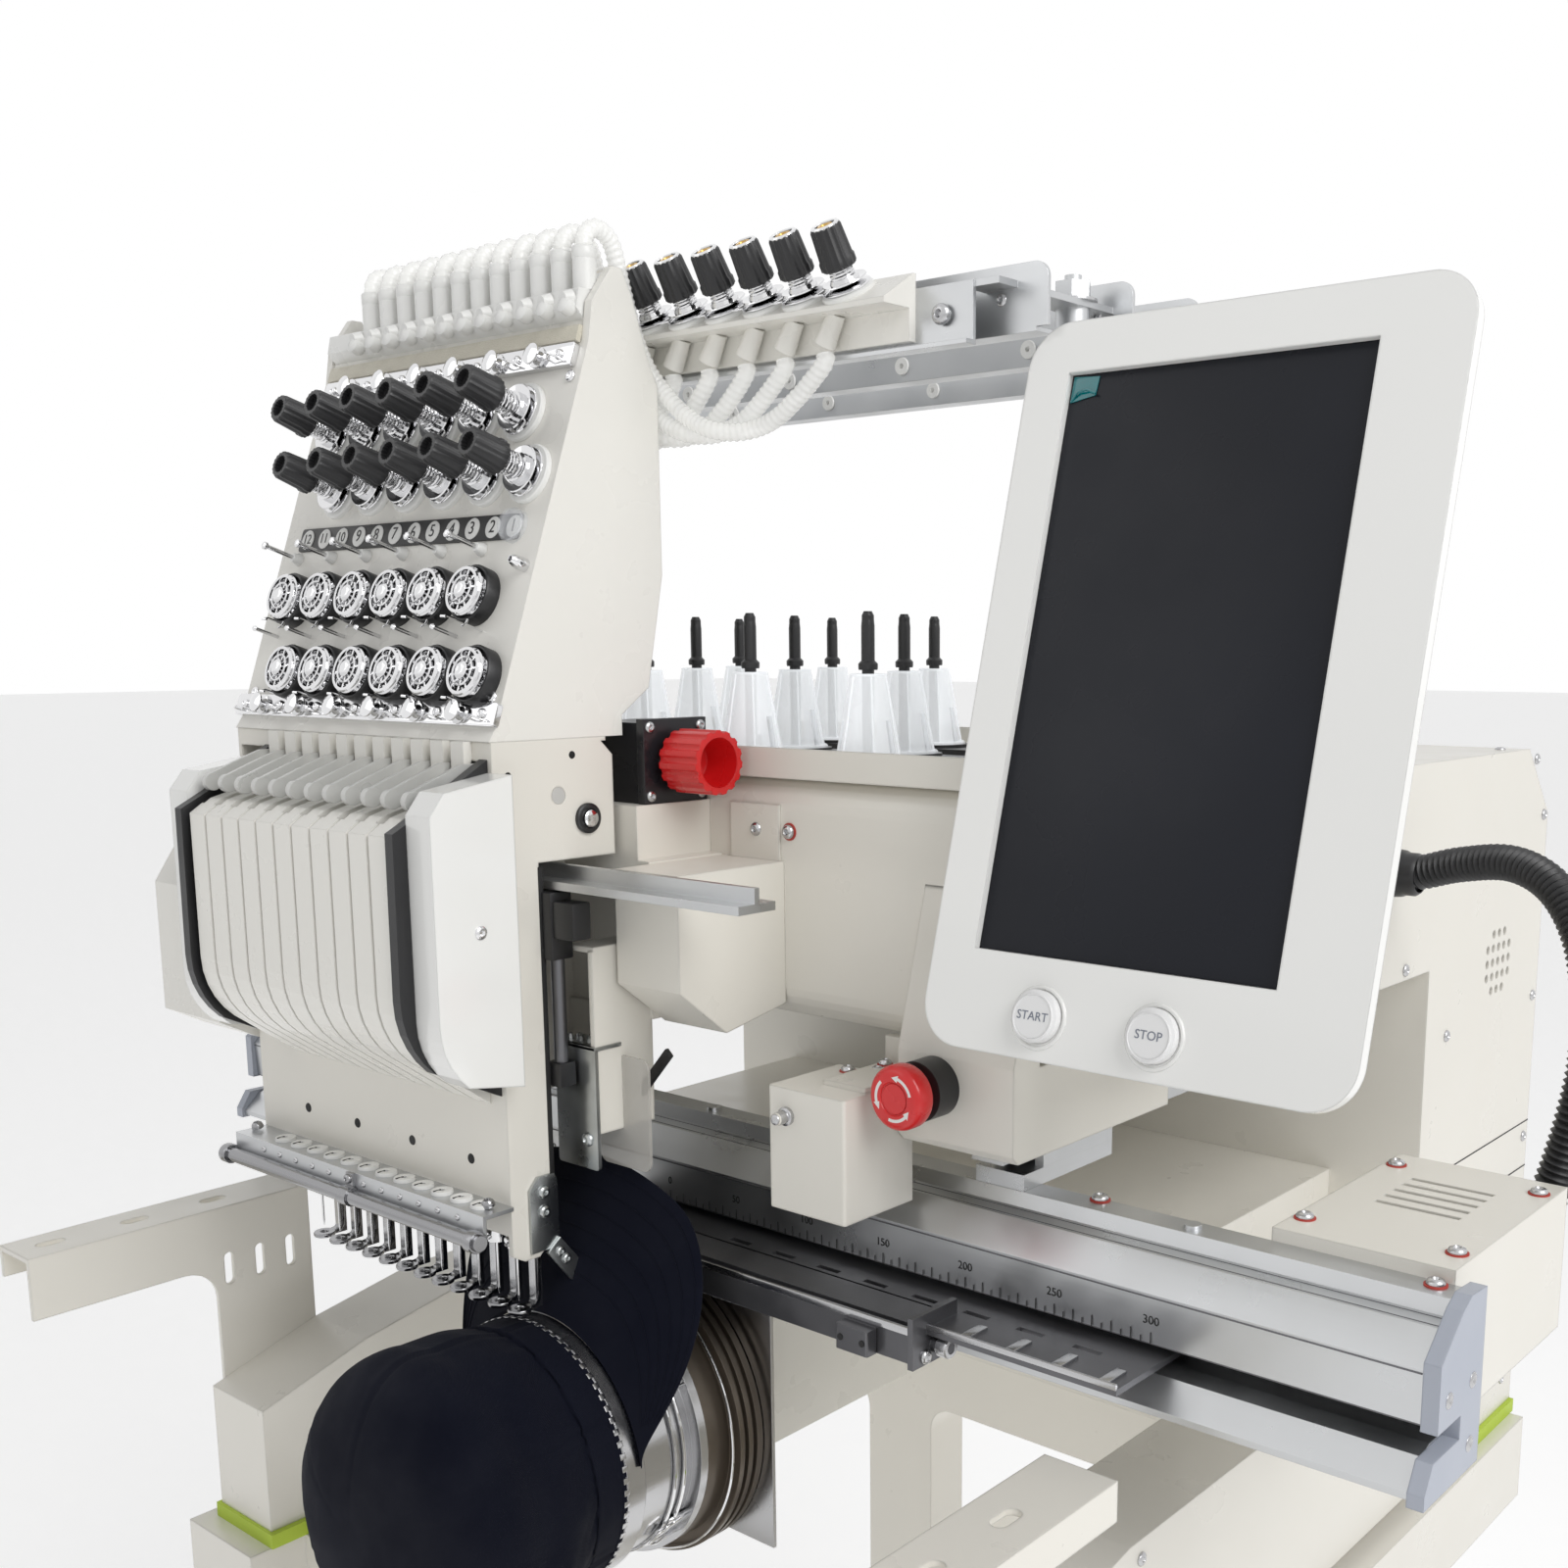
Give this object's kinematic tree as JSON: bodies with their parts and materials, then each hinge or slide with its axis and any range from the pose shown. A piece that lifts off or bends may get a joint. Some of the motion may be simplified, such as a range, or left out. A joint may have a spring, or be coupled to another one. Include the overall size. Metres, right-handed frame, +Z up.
{
  "type": "embroidery machine",
  "caption": "Single-head multi-needle embroidery machine with cap driver, thread tree, tilted control panel and stand.",
  "frame": {"origin": "on the floor under the middle of the whole machine's box", "axes": "+X to the operator's right along the X beam, +Y from the operator to the rear housing, +Z up"},
  "size_m": [0.856, 0.738, 1.3753],
  "materials": {
    "cream_paint": "satin powder coat",
    "cream_plastic": "satin moulded",
    "white_gloss": "gloss",
    "black_plastic": "fine grain",
    "black_metal": "semi gloss",
    "red_plastic": "gloss",
    "green_pad": "matt",
    "aluminium": "anodised",
    "grey_plastic": "satin",
    "chrome": "polished",
    "steel": "brushed",
    "dark_steel": "phosphated",
    "bronze": "anodised",
    "clear_plastic": "translucent",
    "cap_cloth": "cotton twill",
    "button_blue": "gloss"
  },
  "bodies": {
    "machine": {"stand_frame": "cream_paint", "leveling_feet": "black_metal", "damping_pads": "green_pad", "base_arms": "cream_paint", "base_deck": "cream_paint", "cylinder_bed": "cream_paint", "needle_plate": "steel", "table_brackets": "cream_paint", "rear_housing": "cream_paint", "head_beam": "cream_paint", "panel_housing": "cream_paint", "head_arm": "cream_paint", "arm_covers": "cream_paint", "linear_guides": "aluminium", "color_motor": "black_metal", "spool_tray": "cream_paint", "spool_pins": "black_plastic", "spool_cones": "clear_plastic", "thread_tree": "aluminium", "upper_tension_bar": "cream_plastic", "upper_tension_units": "black_plastic", "thread_tubes": "clear_plastic", "panel_conduit": "black_plastic", "stop_base": "black_plastic"},
    "hook": {"rotary_hook": "chrome"},
    "motor_knob": {"color_knob": "red_plastic"},
    "pantograph": {"x_beam": "aluminium", "beam_end_caps": "grey_plastic", "x_motor_cover": "cream_paint", "y_sliders": "aluminium", "driver_hub": "steel"},
    "carriage": {"x_carriage": "dark_steel"},
    "cap": {"driver_ring": "bronze", "cap_frame": "steel", "cap_crown": "cap_cloth", "cap_visor": "cap_cloth"},
    "needle_case": {"case_frame": "cream_paint", "tension_board": "cream_plastic", "tension_units": "chrome", "tension_knobs": "black_plastic", "tension_wheels": "chrome", "thread_clips": "chrome", "thread_comb": "cream_plastic", "guard_slats": "cream_plastic", "side_trims": "black_plastic", "side_covers": "white_gloss", "end_box": "cream_plastic", "take_up_levers": "chrome", "needle_bars": "chrome", "presser_feet": "steel", "foot_channel": "aluminium"},
    "lever": {"take_up_lever_1": "chrome"},
    "needle": {"needle_bar_1": "chrome"},
    "foot": {"presser_foot_1": "steel"},
    "tension_knob": {"tension_knob_1": "black_plastic"},
    "tension_wheel": {"tension_wheel_1": "chrome"},
    "panel": {"control_panel": "white_gloss"},
    "start": {"start_button": "button_blue"},
    "stop": {"stop_button": "red_plastic"},
    "emergency": {"stop_head": "red_plastic"}
  },
  "joints": [
    {"name": "needle_change", "type": "slide", "parent": "machine", "child": "needle_case", "axis": [1, 0, 0], "range_m": [0, 0.1738], "deforming": ["thread_tubes"]},
    {"name": "knob_turn", "type": "hinge", "parent": "machine", "child": "motor_knob", "pos_m": [0.03, -0.161, 1.119], "axis": [1, 0, 0], "range_deg": [0, 3960.5]},
    {"name": "frame_y", "type": "slide", "parent": "machine", "child": "pantograph", "axis": [0, 1, 0], "range_m": [0, 0.045], "deforming": ["panel_conduit"]},
    {"name": "frame_x", "type": "slide", "parent": "pantograph", "child": "carriage", "axis": [1, 0, 0], "range_m": [-0.1, 0.1]},
    {"name": "cap_turn", "type": "hinge", "parent": "pantograph", "child": "cap", "pos_m": [0, -0.181, 0.774], "axis": [0, 1, 0], "range_deg": [-71.7, 71.7]},
    {"name": "hook_spin", "type": "hinge", "parent": "machine", "child": "hook", "pos_m": [0, -0.211, 0.8055], "axis": [0, 1, 0], "continuous": true},
    {"name": "needle_stroke", "type": "slide", "parent": "needle_case", "child": "needle", "axis": [0, 0, 1], "range_m": [-0.03, 0]},
    {"name": "take_up", "type": "hinge", "parent": "needle_case", "child": "lever", "pos_m": [0, -0.226, 1.105], "axis": [1, 0, 0], "range_deg": [0, 50.1]},
    {"name": "foot_lift", "type": "slide", "parent": "needle_case", "child": "foot", "axis": [0, 0, 1], "range_m": [-0.006, 0]},
    {"name": "tension_turn", "type": "hinge", "parent": "needle_case", "child": "tension_knob", "pos_m": [-0.0237, -0.20944, 1.28523], "axis": [0, -0.9438, 0.3305], "range_deg": [-360, 360]},
    {"name": "wheel_spin", "type": "hinge", "parent": "needle_case", "child": "tension_wheel", "pos_m": [-0.0237, -0.24001, 1.19793], "axis": [0, -0.9438, 0.3305], "continuous": true},
    {"name": "panel_tilt", "type": "hinge", "parent": "machine", "child": "panel", "pos_m": [0.225, -0.15533, 1.02329], "axis": [1, 0, 0], "range_deg": [0, 20]},
    {"name": "start_press", "type": "slide", "parent": "panel", "child": "start", "axis": [0, 0.9659, -0.2588], "range_m": [0, 0.002], "stiffness_N_per_m": 400},
    {"name": "stop_press", "type": "slide", "parent": "panel", "child": "stop", "axis": [0, 0.9659, -0.2588], "range_m": [0, 0.002], "stiffness_N_per_m": 400},
    {"name": "emergency_push", "type": "slide", "parent": "machine", "child": "emergency", "axis": [0, 1, 0], "range_m": [0, 0.0048], "stiffness_N_per_m": 900}
  ],
  "couplings": [
    {"joint": "knob_turn", "follows": "needle_change", "rad_per_m": 397.67},
    {"joint": "cap_turn", "follows": "frame_x", "rad_per_m": 12.5},
    {"joint": "take_up", "follows": "needle_stroke", "rad_per_m": -29.089}
  ]
}
